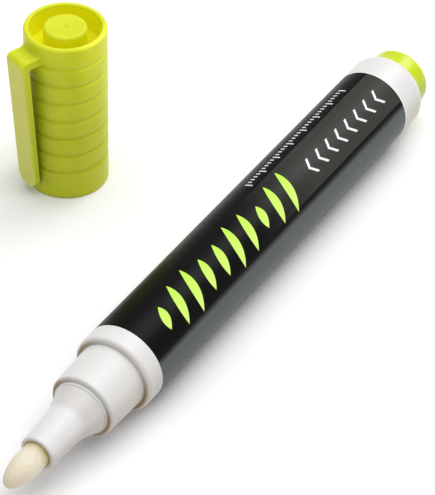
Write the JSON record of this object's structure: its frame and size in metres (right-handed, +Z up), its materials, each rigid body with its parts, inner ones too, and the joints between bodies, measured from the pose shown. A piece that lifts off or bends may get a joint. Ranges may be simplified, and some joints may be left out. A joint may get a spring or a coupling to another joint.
{
  "type": "marker pen",
  "caption": "White valve-action marker with a stepped nose, bullet nib and lime rear plug, lying beside its upright lime cap with ring grooves and a clip.",
  "frame": {"origin": "on the table, under the middle of the box round the pen and the standing cap", "axes": "+X along the pen towards its back, +Y from the pen towards the cap, +Z up from the table"},
  "size_m": [0.1376, 0.0602, 0.0357],
  "materials": {
    "white_plastic": "satin moulded polypropylene",
    "lime_plastic": "satin moulded polypropylene",
    "label_film": "printed film",
    "nib_fibre": "pressed fibre",
    "natural_plastic": "natural moulded plastic",
    "soft_rubber": "matt",
    "spring_steel": "drawn stainless wire",
    "ball_steel": "polished"
  },
  "bodies": {
    "barrel": {"barrel": "white_plastic", "label_sleeve": "label_film", "rear_plug": "lime_plastic", "nib_holder": "white_plastic", "valve_housing": "natural_plastic", "valve_gasket": "soft_rubber", "valve_spring": "spring_steel", "spring_retainer": "natural_plastic"},
    "nib": {"nib": "nib_fibre"},
    "valve_stem": {"valve_stem": "natural_plastic"},
    "mixing_ball": {"mixing_ball": "ball_steel"},
    "cap": {"cap": "lime_plastic"}
  },
  "joints": [
    {"name": "nib_press", "type": "slide", "parent": "barrel", "child": "nib", "axis": [1, 0, 0], "range_m": [0, 0.002], "stiffness_N_per_m": 500, "springref_m": -0.003},
    {"name": "valve_open", "type": "slide", "parent": "barrel", "child": "valve_stem", "axis": [1, 0, 0], "range_m": [0, 0.002], "deforming": ["valve_spring"]},
    {"name": "ball_roll", "type": "slide", "parent": "barrel", "child": "mixing_ball", "axis": [1, 0, 0], "range_m": [0, 0.06787]},
    {"name": "cap_lift", "type": "slide", "parent": "barrel", "child": "cap", "axis": [0, 0, 1], "range_m": [0, 0.06]}
  ],
  "couplings": [
    {"joint": "valve_open", "follows": "nib_press", "ratio": 1}
  ]
}
